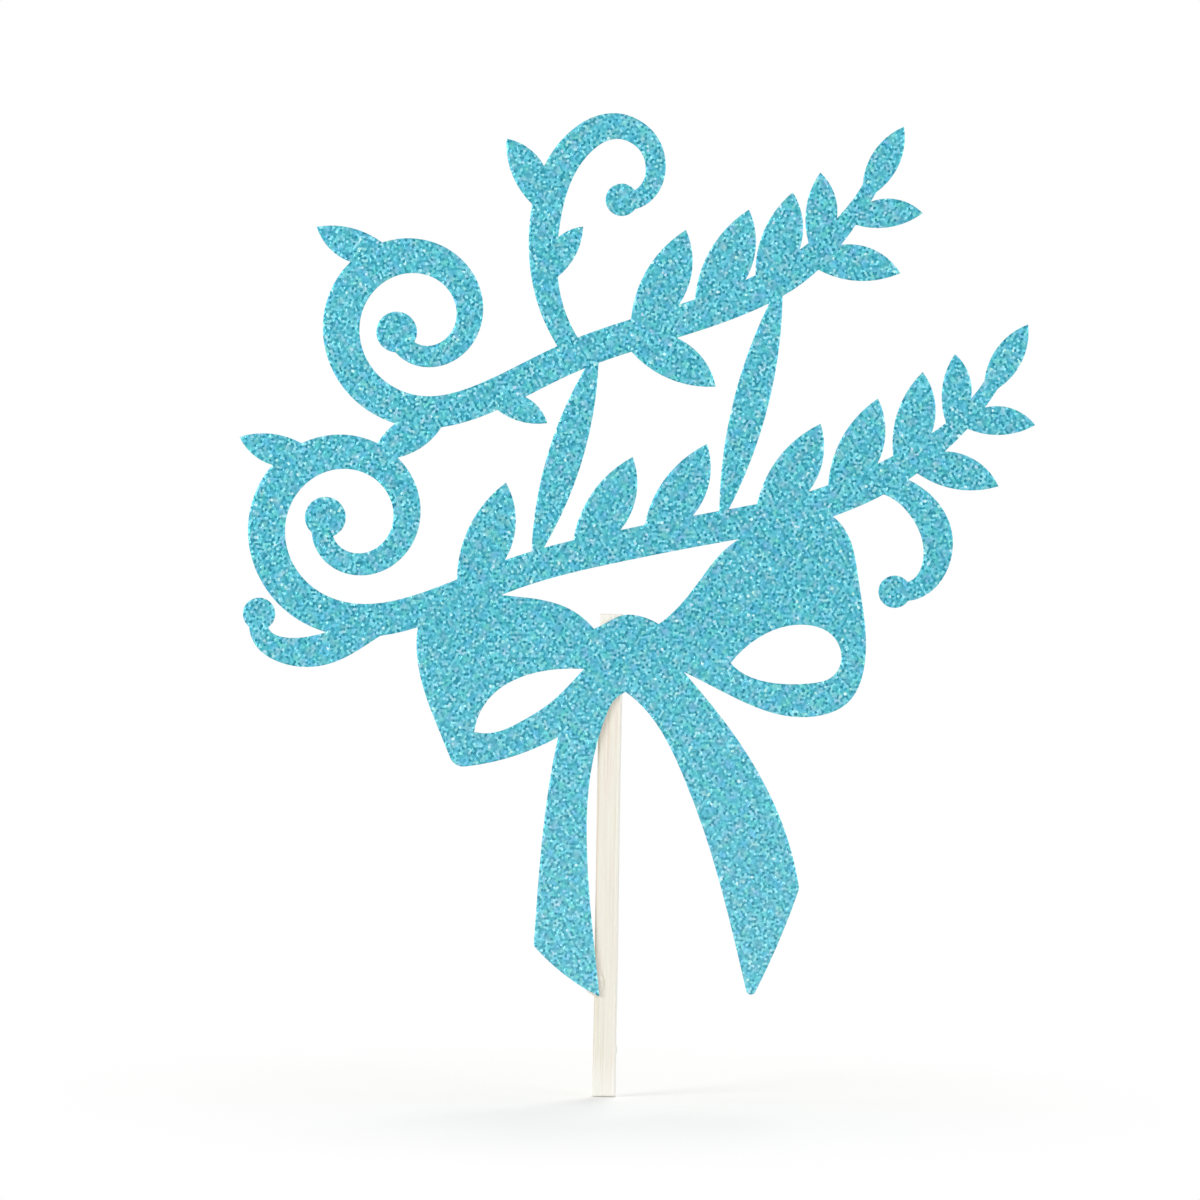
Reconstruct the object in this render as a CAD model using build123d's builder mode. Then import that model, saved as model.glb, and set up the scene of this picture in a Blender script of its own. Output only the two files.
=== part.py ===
from build123d import *
import os
from math import ceil, cos, pi, sin

# Cake topper: one die-cut sheet of glitter card, a bow with a leafy crest over it,
# glued to the front of a flat wooden stick that is pushed into the cake.
# Millimetres. The origin is the middle of the stick's lower end, +Z runs up the stick,
# +X is to the right as the topper is looked at, and the glitter faces -Y.

# Stick
stick_length = 80.5
stick_width = 4.0
stick_thickness = 2.0
stick_edge_round = 0.4

# Card and the glitter coat on its front
card_thickness = 0.35
glitter_thickness = 0.15

# Hot glue between the card and the stick
glue_film = 0.2
glue_depth = 1.3
glue_draw_in = 0.6
knot_glue_width = 7.4
knot_glue_height = 8.0
tail_glue_width = 3.2
tail_glue_height = 4.6

# Bow, placed by the middle of its knot
bow_width = 75.0
bow_height = 81.0
knot_right_of_stick = 2.65
knot_below_stick_top = 6.8
loop_corner_round = 2.4
tail_corner_round = 0.8

# Crest, placed where its lower stem lies on the crown of the bow's right loop
crest_width = 128.5
crest_height = 91.0

# Stems and scrolls of the crest
stem_width = 5.2
stem_tip_width = 2.6
scroll_width = 6.2
scroll_gap = 3.2
scroll_eye_radius = 4.3
scroll_eye_width = 3.4
scroll_ball_diameter = 6.8
lower_scroll_radius = 16.3
upper_scroll_radius = 15.3

# Tendrils of the crest
tendril_root_width = 3.6
tendril_width = 5.2
tendril_end_width = 3.0
tendril_ball_diameter = 5.4

# Leaves of the crest: each has a full outer side and a flatter inner side
leaf_length = 20.5
leaf_outer_bulge = 5.0
leaf_inner_bulge = 2.8
tip_leaf_bulge = 2.4
tie_leaf_bulge = 2.9

# Outline of the bow about its knot, as shares of the bow's width and height.
# Each edge starts where the edge before it ends.
loop_crown_share = (0.406, 0.311)
loop_corner_share = (-0.381, -0.237)
tail_tip_share = (-0.049, -0.704)
left_tail_corner_share = (-0.197, -0.601)
right_tail_tip_share = (0.284, -0.713)
right_tail_corner_share = (0.391, -0.475)
bow_edges_shares = (
    # left loop, from the knot round to its low corner, and its underside
    (
        (-0.146, 0.100), (-0.262, 0.118), (-0.384, 0.116), (-0.453, 0.080),
        (-0.468, 0.014), (-0.454, -0.066), (-0.414, -0.163), loop_corner_share,
    ),
    ((-0.255, -0.214), (-0.150, -0.171)),
    # left tail: outer side, slanted end, inner side
    ((-0.173, -0.301), (-0.188, -0.455), left_tail_corner_share),
    ((-0.130, -0.658), tail_tip_share),
    (
        (-0.068, -0.557), (-0.082, -0.402), (-0.077, -0.248), (-0.044, -0.124),
        (-0.033, -0.101), (-0.001, -0.076),
    ),
    # right tail: inner side, slanted end, outer side
    ((0.051, -0.120), (0.127, -0.242), (0.192, -0.399), (0.246, -0.573), right_tail_tip_share),
    ((0.334, -0.615), right_tail_corner_share),
    ((0.347, -0.332), (0.268, -0.196), (0.190, -0.100), (0.127, -0.033)),
    # right loop, from the knot round its underside and over its crown
    (
        (0.252, -0.089), (0.398, -0.122), (0.491, -0.092), (0.531, 0.028),
        (0.512, 0.163), (0.475, 0.272), loop_crown_share, (0.313, 0.280),
        (0.214, 0.220), (0.143, 0.135), (0.070, 0.065),
    ),
    # top of the knot
    ((0.031, 0.080), (-0.010, 0.082), (-0.050, 0.064), (-0.074, 0.053)),
)
# The openings of the two loops, each from its point by the knot out and back
left_eye_shares = (
    ((-0.095, -0.030), (-0.193, -0.037), (-0.277, -0.070), (-0.337, -0.163)),
    (
        (-0.337, -0.163), (-0.289, -0.163), (-0.229, -0.138), (-0.169, -0.101),
        (-0.129, -0.065), (-0.095, -0.030),
    ),
)
right_eye_shares = (
    (
        (0.231, -0.013), (0.297, 0.043), (0.379, 0.068), (0.456, 0.047),
        (0.476, -0.008), (0.454, -0.040), (0.419, -0.051), (0.389, -0.054), (0.330, -0.053),
        (0.259, -0.034), (0.231, -0.013),
    ),
)

# Lines of the crest about its root, as shares of the crest's width and height
lower_scroll_share = (-0.598, -0.041)
lower_stem_shares = (
    (-0.494, -0.194), (-0.380, -0.128), (-0.254, -0.079), (-0.127, -0.041),
    (0.000, 0.000), (0.114, 0.074), (0.187, 0.153), (0.232, 0.234),
)
upper_scroll_share = (-0.513, 0.331)
upper_stem_shares = (
    (-0.422, 0.192), (-0.321, 0.264), (-0.207, 0.323), (-0.106, 0.373),
    (-0.023, 0.437), (0.035, 0.516), (0.070, 0.590),
)
hook_shares = ((-0.595, -0.254), (-0.659, -0.281), (-0.707, -0.260), (-0.715, -0.212))
tall_tendril_shares = (
    (-0.345, 0.371), (-0.352, 0.518), (-0.320, 0.643), (-0.262, 0.692),
    (-0.216, 0.653), (-0.218, 0.576), (-0.253, 0.557),
)
hanging_tendril_shares = ((0.137, 0.012), (0.164, -0.060), (0.149, -0.134), (0.109, -0.153))

# Places along the two vines, counted from the scroll's eye to the stem's tip
hook_root_share = 0.45
tall_root_share = 0.635
hanging_root_share = 0.87

# Leaves: share of the vine's length, share of the leaf length, share of the leaf's angle
leaf_angle = 45
lower_leaves_shares = (
    (0.225, 0.66, -0.72), (0.51, 1.00, 1.0), (0.61, 0.95, 1.0), (0.67, 0.95, 1.0),
    (0.765, 0.95, 1.0), (0.828, 0.93, 1.0), (0.890, 0.83, 1.0), (0.945, 0.64, 1.0),
    (0.90, 0.77, -1.0), (0.955, 0.62, -1.0),
)
upper_leaves_shares = (
    (0.225, 0.70, -0.72), (0.695, 0.97, 1.0), (0.765, 0.97, 1.0), (0.835, 0.86, 1.0),
    (0.905, 0.68, 1.0), (0.53, 0.54, -1.0), (0.685, 0.86, -1.0), (0.895, 0.77, -1.0),
    (0.955, 0.62, -1.0),
)
tall_leaves_shares = ((0.38, 0.70, 0.8), (0.20, 0.56, -0.95))
tip_leaf_share = 0.55

# Ties between the vines: share along the lower vine, share along the upper vine
vine_ties_shares = ((0.18, 0.49), (0.575, 0.66), (0.735, 0.865))

# Leaf that seats the crest on the bow's left loop: its place on the bow and on the lower vine
left_seat_share = (-0.390, 0.020)
left_seat_vine_share = 0.50

# Widths along a vine and along a tendril, each with its share of the length
vine_widths = (scroll_eye_width, scroll_width, stem_width, stem_width, stem_tip_width)
vine_width_shares = (0.0, 0.28, 0.52, 0.85, 1.0)
tendril_widths = (tendril_root_width, tendril_width, tendril_end_width)
tendril_width_shares = (0.0, 0.45, 1.0)

# How finely the scrolls and the bands are drawn
scroll_points_per_turn = 12
vine_steps = 60
tendril_steps = 20

# Places that follow from the sizes
knot_centre = Vector(knot_right_of_stick, stick_length - knot_below_stick_top)
card_back = stick_thickness / 2 + glue_film
scroll_pitch = scroll_width + scroll_gap


def on_bow(share):
    """Point of the bow at a share of its width and height from the knot."""
    return knot_centre + Vector(share[0] * bow_width, share[1] * bow_height)


def on_crest(share):
    """Point of the crest at a share of its width and height from its root."""
    return on_bow(loop_crown_share) + Vector(share[0] * crest_width, share[1] * crest_height)


def width_at(share, widths, width_shares):
    """Width at a share of a line, eased between the widths on either side of it."""
    for index in range(1, len(widths)):
        low, high = width_shares[index - 1 : index + 1]
        if share <= high:
            ease = (1 - cos(pi * (share - low) / (high - low))) / 2
            return widths[index - 1] + (widths[index] - widths[index - 1]) * ease
    return widths[-1]


def vine_line(centre, radius, stem_shares):
    """Line out of the eye of a scroll, round the scroll and along its stem to the tip."""
    turn = 2 * pi * (radius - scroll_eye_radius) / scroll_pitch
    count = ceil(scroll_points_per_turn * turn / (2 * pi))
    points = []
    for step in range(count + 1):
        angle = turn * step / count
        reach = scroll_eye_radius + scroll_pitch * angle / (2 * pi)
        heading = angle - turn - pi / 2
        points.append(centre + Vector(cos(heading), sin(heading)) * reach)
    points.extend(on_crest(share) for share in stem_shares)
    return Spline(*points)


def tendril_line(vine, root_share, shares):
    """Line of a tendril from its root on a vine."""
    return Spline(vine @ root_share, *[on_crest(share) for share in shares])


def band(line, widths, width_shares, steps):
    """Face along a line, with a width that changes along it."""
    left = []
    right = []
    for step in range(steps + 1):
        share = step / steps
        side = (line % share).rotate(Axis.Z, 90) * (width_at(share, widths, width_shares) / 2)
        left.append(line @ share + side)
        right.append(line @ share - side)
    with BuildSketch() as face:
        with BuildLine():
            Spline(*left)
            Spline(*right)
            Line(left[0], right[0])
            Line(left[-1], right[-1])
        make_face()
    return face.sketch


def ball(centre, diameter):
    """Round end of a scroll or a tendril."""
    with BuildSketch() as face:
        with Locations(centre):
            Circle(diameter / 2)
    return face.sketch


def leaf(base, tip, left_bulge, right_bulge):
    """Pointed leaf between two points, each side an arc."""
    with BuildSketch() as face:
        with BuildLine():
            SagittaArc(base, tip, left_bulge)
            SagittaArc(base, tip, -right_bulge)
        make_face()
    return face.sketch


def leaves_along(line, table):
    """Leaves that grow from a line on both its sides."""
    faces = []
    for place, length_share, turn_share in table:
        heading = (line % place).rotate(Axis.Z, leaf_angle * turn_share)
        tip = line @ place + heading * (leaf_length * length_share)
        bulges = (leaf_inner_bulge * length_share, leaf_outer_bulge * length_share)
        if turn_share < 0:
            bulges = bulges[::-1]
        faces.append(leaf(line @ place, tip, *bulges))
    return faces


def tip_leaf(line):
    """Leaf at the tip of a stem."""
    tip = line @ 1 + (line % 1) * (leaf_length * tip_leaf_share)
    return leaf(line @ 1 - (line % 1) * stem_tip_width, tip, tip_leaf_bulge, tip_leaf_bulge)


def bow():
    """The bow: two loops with open eyes, a knot and two tails."""
    with BuildSketch() as face:
        with BuildLine():
            start = bow_edges_shares[-1][-1]
            for edge in bow_edges_shares:
                points = [on_bow(share) for share in (start, *edge)]
                Spline(*points)
                start = edge[-1]
        make_face()
        fillet(vertices().sort_by_distance(on_bow(loop_corner_share))[0], loop_corner_round)
        for corner in (left_tail_corner_share, right_tail_tip_share, right_tail_corner_share):
            fillet(vertices().sort_by_distance(on_bow(corner))[0], tail_corner_round)
        for eye in (left_eye_shares, right_eye_shares):
            with BuildLine():
                for edge in eye:
                    Spline(*[on_bow(share) for share in edge])
            make_face(mode=Mode.SUBTRACT)
    return face.sketch


def crest():
    """The crest: two leafy vines with scrolls and tendrils, tied to each other by leaves."""
    lower = vine_line(on_crest(lower_scroll_share), lower_scroll_radius, lower_stem_shares)
    upper = vine_line(on_crest(upper_scroll_share), upper_scroll_radius, upper_stem_shares)
    tall = tendril_line(upper, tall_root_share, tall_tendril_shares)
    hook = tendril_line(lower, hook_root_share, hook_shares)
    hanging = tendril_line(lower, hanging_root_share, hanging_tendril_shares)
    faces = []
    for vine in (lower, upper):
        faces.append(band(vine, vine_widths, vine_width_shares, vine_steps))
        faces.append(ball(vine @ 0, scroll_ball_diameter))
        faces.append(tip_leaf(vine))
    for tendril in (tall, hook, hanging):
        faces.append(band(tendril, tendril_widths, tendril_width_shares, tendril_steps))
        faces.append(ball(tendril @ 1, tendril_ball_diameter))
    faces.extend(leaves_along(lower, lower_leaves_shares))
    faces.extend(leaves_along(upper, upper_leaves_shares))
    faces.extend(leaves_along(tall, tall_leaves_shares))
    for low_share, high_share in vine_ties_shares:
        faces.append(leaf(lower @ low_share, upper @ high_share, tie_leaf_bulge, tie_leaf_bulge))
    left_seat = on_bow(left_seat_share)
    faces.append(leaf(left_seat, lower @ left_seat_vine_share, tie_leaf_bulge, tie_leaf_bulge))
    return faces


def glue_pad(centre, width, height):
    """Glue pad that spreads on the card's back and draws in away from it, clear of the stick."""
    with BuildPart() as pad:
        for depth, inset in ((0, 0), (glue_depth, glue_draw_in)):
            with BuildSketch(Plane.XZ.offset(card_back - depth)):
                with Locations(centre):
                    Ellipse(width / 2 - inset, height / 2 - inset)
        loft()
        add(stick.part, mode=Mode.SUBTRACT)
    return pad


# Flat wooden stick with eased long edges and square-cut ends
with BuildPart() as stick:
    with BuildSketch():
        Rectangle(stick_width, stick_thickness)
        fillet(vertices(), stick_edge_round)
    extrude(amount=stick_length)

# The one outline that is cut through the card and its coat
with BuildSketch() as outline:
    add(bow())
    add(crest())

# Card core
with BuildPart() as card_sheet:
    with BuildSketch(Plane.XZ.offset(card_back)):
        add(outline.sketch)
    extrude(amount=card_thickness)

# Glitter coat over the whole front of the card
with BuildPart() as glitter_face:
    with BuildSketch(Plane.XZ.offset(card_back + card_thickness)):
        add(outline.sketch)
    extrude(amount=glitter_thickness)

# Glue behind the knot: a film on the stick's face and a bead along both its sides
knot_glue = glue_pad((0, knot_centre.Y), knot_glue_width, knot_glue_height)

# Glue where the end of the left tail crosses the stick's edge, squeezed out below it
tail_glue_centre = (-stick_width / 2, on_bow(tail_tip_share).Y + tail_glue_height / 2)
tail_glue = glue_pad(tail_glue_centre, tail_glue_width, tail_glue_height)

pieces = {
    "stick": stick,
    "card_sheet": card_sheet,
    "glitter_face": glitter_face,
    "knot_glue": knot_glue,
    "tail_glue": tail_glue,
}
os.makedirs("parts", exist_ok=True)
for name, piece in pieces.items():
    piece.part.label = name
    export_step(piece.part, f"parts/{name}.step")
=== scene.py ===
"""Cake topper: a bow and a leafy crest of glitter card on a flat wooden stick.

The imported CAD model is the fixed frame. The classes below dress it: the glitter coat, the stick and
the two lumps of glue are new meshes that stand for their CAD nodes, and the card keeps its own.
Lengths are in millimetres, unless a name or a docstring says otherwise.
"""

import logging
import math
from collections.abc import Iterable
from dataclasses import dataclass
from enum import Enum
from typing import Any

import bpy
import numpy as np
from mathutils import Matrix, Vector
from mathutils.geometry import delaunay_2d_cdt


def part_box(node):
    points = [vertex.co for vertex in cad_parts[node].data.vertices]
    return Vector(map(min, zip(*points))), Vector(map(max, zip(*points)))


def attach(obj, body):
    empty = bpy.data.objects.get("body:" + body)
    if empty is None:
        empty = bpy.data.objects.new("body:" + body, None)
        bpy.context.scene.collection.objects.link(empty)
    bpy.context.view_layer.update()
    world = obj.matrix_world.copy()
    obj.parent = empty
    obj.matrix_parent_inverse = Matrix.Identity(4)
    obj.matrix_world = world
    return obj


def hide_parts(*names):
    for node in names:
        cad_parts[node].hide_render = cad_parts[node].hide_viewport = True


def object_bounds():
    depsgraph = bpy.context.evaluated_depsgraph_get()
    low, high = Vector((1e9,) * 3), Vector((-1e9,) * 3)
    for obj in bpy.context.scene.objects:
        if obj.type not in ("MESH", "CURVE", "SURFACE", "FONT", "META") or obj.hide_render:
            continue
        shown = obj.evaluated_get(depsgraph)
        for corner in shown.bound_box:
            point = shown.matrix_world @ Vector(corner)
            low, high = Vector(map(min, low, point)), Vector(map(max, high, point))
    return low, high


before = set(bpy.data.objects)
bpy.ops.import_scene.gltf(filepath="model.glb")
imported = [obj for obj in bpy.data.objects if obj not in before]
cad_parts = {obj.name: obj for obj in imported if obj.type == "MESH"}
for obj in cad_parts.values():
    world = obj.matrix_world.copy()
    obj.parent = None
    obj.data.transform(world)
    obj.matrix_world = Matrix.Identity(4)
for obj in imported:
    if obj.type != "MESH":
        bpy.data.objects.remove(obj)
CAD_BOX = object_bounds()

LOG = logging.getLogger("topper")
MM = 0.001

# Depth in millimetres within which points lie on one flat face
FLAT_MM = 0.001
# Decimals of a millimetre to which points that count as one are the same
MERGE_DIGITS = 4
# Blender's number for a Delaunay result that fills the whole hull of its points
WHOLE_HULL = 0

Array = np.ndarray
Random = np.random.Generator
Socket = bpy.types.NodeSocket
Tree = bpy.types.NodeTree


class Part(Enum):
    """CAD nodes of the topper."""

    STICK = "stick"
    CARD = "card_sheet"
    GLITTER = "glitter_face"
    KNOT_GLUE = "knot_glue"
    TAIL_GLUE = "tail_glue"


class Slot(Enum):
    """Names of material slots for the new pieces, which this script does not assign."""

    GLITTER = "glitter"
    WOOD = "wood"
    GLUE = "glue"


class BackdropRay(Enum):
    """Kinds of ray that see the white backdrop at full strength."""

    CAMERA = "Is Camera Ray"
    GLOSSY = "Is Glossy Ray"
    TRANSMISSION = "Is Transmission Ray"


def linear(colour: str) -> tuple[float, float, float, float]:
    """Turns an sRGB hex colour into the linear one that shaders take.

    The curve is the standard one: a straight line for dark values and a power above it.

    Args:
        colour: Six hex digits after a hash sign.

    Returns:
        Linear red, green, blue and a full alpha.
    """
    coded = np.array([int(colour[i : i + 2], 16) for i in (1, 3, 5)]) / 255
    low, high = coded / 12.92, ((coded + 0.055) / 1.055) ** 2.4
    return (*np.where(coded <= 0.04045, low, high).tolist(), 1.0)


def add_node(
    tree: Tree,
    kind: str,
    settings: dict[str, Any] | None = None,
    inputs: dict[str | int, Any] | None = None,
) -> bpy.types.Node:
    """Adds a node, sets its properties and fills or links its inputs.

    Args:
        tree: Node tree that takes the node.
        kind: Blender's name of the node type.
        settings: Property values by name.
        inputs: Values, or output sockets to link from, by input name or index.

    Returns:
        The new node.
    """
    node = tree.nodes.new(kind)
    for name, value in (settings or {}).items():
        setattr(node, name, value)
    for name, value in (inputs or {}).items():
        if isinstance(value, Socket):
            tree.links.new(value, node.inputs[name])
        else:
            node.inputs[name].default_value = value
    return node


def blank_material(name: str) -> tuple[bpy.types.Material, Tree]:
    """Makes a material with an empty node tree.

    Args:
        name: Name of the real material.

    Returns:
        The material and its node tree.
    """
    material = bpy.data.materials.new(name)
    material.use_nodes = True
    material.node_tree.nodes.clear()
    return material, material.node_tree


def ramp_stops(node: bpy.types.Node, stops: Iterable[tuple[float, str]]) -> None:
    """Sets the stops of a colour ramp node.

    Args:
        node: Colour ramp node.
        stops: Position and hex colour of each stop, in order.
    """
    elements = node.color_ramp.elements
    for index, (place, colour) in enumerate(stops):
        element = elements[index] if index < len(elements) else elements.new(1)
        element.position = place
        element.color = linear(colour)


def tinted(
    tree: Tree,
    colour: Socket,
    value: Socket,
    span: tuple[float, float] | Array,
    share: float,
    tint: str | Socket,
) -> Socket:
    """Mixes a tint into a colour, more and more as a value goes through a span.

    Args:
        tree: Node tree that takes the nodes.
        colour: Output socket of the colour below the tint.
        value: Output socket of the value.
        span: Values at which the tint starts and is full, rising or falling.
        share: Share of the tint where it is full.
        tint: Hex colour, or the output socket of a colour.

    Returns:
        Output socket of the tinted colour.
    """
    amount = add_node(tree, "ShaderNodeMapRange", {"interpolation_type": "SMOOTHSTEP"}, {
        "Value": value,
        "From Min": span[0],
        "From Max": span[1],
        "To Max": share,
    })
    # The mix node has its two colours in inputs 6 and 7, and gives the mixed one in output 2
    return add_node(tree, "ShaderNodeMix", {"data_type": "RGBA"}, {
        0: amount.outputs["Result"],
        6: colour,
        7: linear(tint) if isinstance(tint, str) else tint,
    }).outputs[2]


def mesh_piece(name: str, points: Array, faces: Array, smooth: bool) -> bpy.types.Object:
    """Makes a mesh object at the origin from whole arrays.

    Args:
        name: Name of the piece.
        points: Points in millimetres, one row each.
        faces: Point numbers, one row for each face, all with as many corners.
        smooth: Whether the faces are shaded smooth.

    Returns:
        The object, linked into the scene.
    """
    mesh = bpy.data.meshes.new(name)
    count, sides = faces.shape
    mesh.vertices.add(len(points))
    mesh.vertices.foreach_set("co", np.ascontiguousarray(points * MM, np.float32).ravel())
    mesh.loops.add(count * sides)
    mesh.loops.foreach_set("vertex_index", np.ascontiguousarray(faces, np.int32).ravel())
    mesh.polygons.add(count)
    mesh.polygons.foreach_set("loop_start", np.arange(0, count * sides, sides, dtype=np.int32))
    mesh.polygons.foreach_set("use_smooth", np.full(count, smooth))
    mesh.update(calc_edges=True)
    mesh.validate()
    piece = bpy.data.objects.new(name, mesh)
    bpy.context.scene.collection.objects.link(piece)
    return piece


def triangle_sides(corners: Array) -> Array:
    """Lists the three sides of each triangle, each as two point numbers."""
    return corners[:, [0, 1, 1, 2, 2, 0]].reshape(-1, 2)


def grid_triangles(numbers: Array) -> Array:
    """Halves the cells of a grid of points into triangles, which turn from rows to columns.

    Args:
        numbers: Point numbers, by row and column.

    Returns:
        Three point numbers for each triangle.
    """
    first, second = numbers[:-1], numbers[1:]
    cells = np.stack([first[:, :-1], second[:, :-1], second[:, 1:], first[:, 1:]], axis=-1)
    cells = cells.reshape(-1, 4)
    return np.concatenate([cells[:, [0, 1, 2]], cells[:, [0, 2, 3]]])


def stand_for(piece: bpy.types.Object, part: Part) -> None:
    """Lets a new piece take the place of a CAD node, on the one body of the topper.

    Args:
        piece: The new piece.
        part: CAD node that it stands for.
    """
    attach(piece, "root")
    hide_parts(part.value)
    LOG.info("%s: %d faces for %s", piece.name, len(piece.data.polygons), part.value)


def node_box(part: Part) -> tuple[Array, Array]:
    """Lowest and highest corner of a CAD node, in millimetres."""
    low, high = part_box(part.value)
    return np.array(low) / MM, np.array(high) / MM


def wave_field(points: Array, wavelengths: Array, waves: int, rng: Random) -> Array:
    """Smooth random field: a sum of plane waves of random direction, length and phase.

    Args:
        points: Points in millimetres, one row each.
        wavelengths: Shortest and longest wavelength along each axis, one row of two for each axis.
        waves: How many waves are added up.
        rng: Source of the random numbers.

    Returns:
        One value for each point, with a spread of about one.
    """
    lengths = rng.uniform(wavelengths[:, 0], wavelengths[:, 1], (waves, len(wavelengths)))
    signs = rng.choice((-1.0, 1.0), lengths.shape)
    phases = rng.uniform(0, 2 * math.pi, waves)
    angles = points @ (2 * math.pi * signs / lengths).T + phases
    return np.sin(angles).sum(axis=1) * math.sqrt(2 / waves)


@dataclass(frozen=True)
class SurfaceRelief:
    """Fine relief of a surface, and how its roughness changes from place to place."""

    relief_mm: float
    strength: float
    least_roughness: float
    most_roughness: float

    def shade(
        self,
        tree: Tree,
        colour: Socket,
        height: Socket,
        dullness: Socket,
        constants: dict[str, Any] | None = None,
    ) -> None:
        """Adds the shader of the surface, with its bump and roughness, and the material's output.

        Args:
            tree: Node tree that takes the nodes.
            colour: Output socket of the colour.
            height: Output socket of the relief's height, 0 to 1.
            dullness: Output socket of the value, 0 to 1, that the roughness follows.
            constants: More inputs of the shader, the same all over the surface.
        """
        bump = add_node(tree, "ShaderNodeBump", {}, {
            "Height": height,
            "Strength": self.strength,
            "Distance": self.relief_mm * MM,
        })
        rough = add_node(tree, "ShaderNodeMapRange", {}, {
            "Value": dullness,
            "To Min": self.least_roughness,
            "To Max": self.most_roughness,
        })
        shader = add_node(tree, "ShaderNodeBsdfPrincipled", {}, {
            "Base Color": colour,
            "Roughness": rough.outputs["Result"],
            "Normal": bump.outputs["Normal"],
            **(constants or {}),
        })
        add_node(tree, "ShaderNodeOutputMaterial", {}, {"Surface": shader.outputs["BSDF"]})


@dataclass(frozen=True)
class GlitterFinish:
    """Hexagon-cut flakes of metallised polyester film, scattered on glue and varnished.

    Each flake lies at its own small tilt, so the eye sees a grain of turquoise tones about as wide
    as a flake, a few pale flakes painted as glints, and patches that lean to blue, green or rose.
    Down the tails the flakes are lighter and paler, which is painted light and painted sheen.
    """

    name: str = "polyester_glitter_in_varnish"
    colour_name: str = "flake_colour"
    tones: tuple[tuple[float, str], ...] = (
        (0.00, "#06829A"),
        (0.15, "#2B9CB1"),
        (0.50, "#4EB8CB"),
        (0.85, "#74D6E7"),
        (1.00, "#9FECF6"),
    )
    # Pale colours painted on a few flakes as glints, and the share of flakes that take them
    painted_glints: tuple[str, ...] = ("#C8F2F6", "#B8DCF0", "#A8E6F0", "#B4EAE4")
    painted_glint_share: float = 0.009
    tints: tuple[tuple[str, float], ...] = (
        ("#B8B4D2", 0.09),
        ("#A4CCA0", 0.06),
        ("#2F94DE", 0.11),
        ("#3CC8AC", 0.12),
    )
    full_tint_tone: float = 0.5
    tint_ceiling: float = 2.0
    patch_mm: tuple[float, float] = (2.0, 7.0)
    patch_waves: int = 60
    # Painted sheen and painted light: flakes turn paler and lighter down the tails, below this height
    painted_sheen: str = "#E4F6F7"
    painted_sheen_share: float = 0.058
    painted_light_gain: float = 0.085
    painted_light_from_mm: float = 80.0
    metallic: float = 0.4
    specular: float = 0.35
    coat: float = 0.2
    coat_roughness: float = 0.12
    varnish_mm: float = 0.16
    varnish_detail: float = 2.0
    surface: SurfaceRelief = SurfaceRelief(0.02, 0.2, 0.22, 0.5)

    def flake_colours(self, centres: Array, tone: Array, rng: Random) -> Array:
        """Gives each flake the colour of its tone, tinted by slow waves over the card.

        A flake of the middle tone takes the tints as given, a paler one more and a darker one less.
        A few flakes get a painted glint's colour instead, and down the tails all get painted light
        and painted sheen, lighter and paler.

        Args:
            centres: Middle of each flake in millimetres, across and up the card.
            tone: Tone of each flake, from 0 to 1.
            rng: Source of the random numbers.

        Returns:
            Linear red, green and blue, with the flake's own gloss as the fourth column.
        """
        places = [place for place, _ in self.tones]
        stops = np.array([linear(colour)[:3] for _, colour in self.tones])
        colours = np.stack([np.interp(tone, places, stops[:, i]) for i in range(3)], axis=1)
        patch = np.array([self.patch_mm, self.patch_mm])
        for tint, most in self.tints:
            waves = wave_field(centres, patch, self.patch_waves, rng)
            share = np.clip(waves, 0, self.tint_ceiling) * most * tone / self.full_tint_tone
            colours += (np.array(linear(tint)[:3]) - colours) * share[:, None]
        # Painted glints: a few flakes take a pale glint colour in place of their own
        glint_colours = np.array([linear(colour)[:3] for colour in self.painted_glints])
        chosen = glint_colours[rng.integers(0, len(glint_colours), len(centres))]
        colours = np.where(rng.uniform(0, 1, (len(centres), 1)) < self.painted_glint_share, chosen, colours)
        # Painted light and painted sheen: flakes lower on the card are made lighter and paler
        tail = self.painted_light_from_mm - centres[:, 1:].min()
        lower = np.clip((self.painted_light_from_mm - centres[:, 1:]) / tail, 0, 1)
        colours *= 1 + self.painted_light_gain * lower
        colours += (np.array(linear(self.painted_sheen)[:3]) - colours) * self.painted_sheen_share * lower
        gloss = rng.uniform(0, 1, (len(centres), 1))
        return np.concatenate([colours, gloss], axis=1)

    def material(self) -> bpy.types.Material:
        """Builds the material, which reads each flake's colour and gloss from the mesh.

        Returns:
            The glitter material.
        """
        material, tree = blank_material(self.name)
        flake = add_node(tree, "ShaderNodeAttribute", {"attribute_name": self.colour_name})
        place = add_node(tree, "ShaderNodeTexCoord").outputs["Object"]
        varnish = add_node(tree, "ShaderNodeTexNoise", {}, {
            "Vector": place,
            "Scale": 1 / (self.varnish_mm * MM),
            "Detail": self.varnish_detail,
        })
        self.surface.shade(
            tree, flake.outputs["Color"], varnish.outputs["Fac"], flake.outputs["Alpha"], {
                "Metallic": self.metallic,
                "Specular IOR Level": self.specular,
                "Coat Weight": self.coat,
                "Coat Roughness": self.coat_roughness,
            }
        )
        return material


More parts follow.
